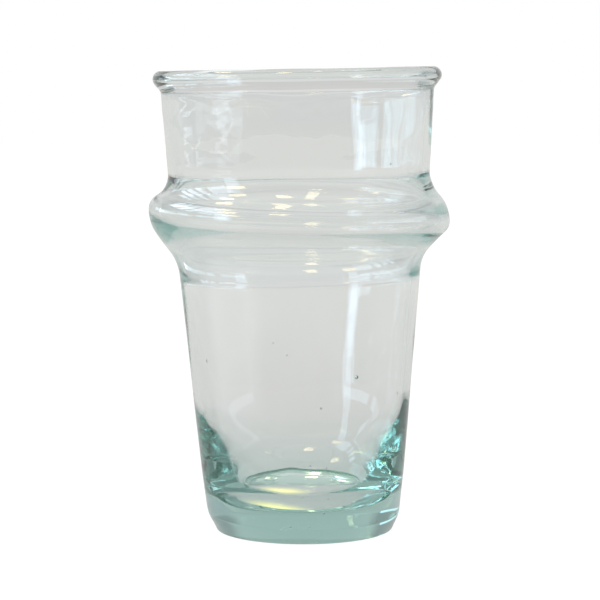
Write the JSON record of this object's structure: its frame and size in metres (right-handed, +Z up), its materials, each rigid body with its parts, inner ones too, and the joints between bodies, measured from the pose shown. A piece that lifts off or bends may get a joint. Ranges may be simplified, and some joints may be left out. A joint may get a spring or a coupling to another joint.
{
  "type": "drinking glass",
  "caption": "Mouth-blown tumbler of thick pale aqua glass: beaded lip, plain upper wall, hollow bulged ring, conical lower wall and a heavy foot.",
  "frame": {"origin": "middle of the base, in the plane that the glass stands on", "axes": "+Z up along the axis of the glass, towards the mouth; the glass is the same all round, so +X and +Y are any two square directions"},
  "size_m": [0.0816, 0.0816, 0.1255],
  "materials": {
    "glass": "clear, fire-polished, pale aqua where it is thick, with small air bubbles"
  },
  "bodies": {
    "root": {"tumbler": "glass"}
  },
  "joints": []
}
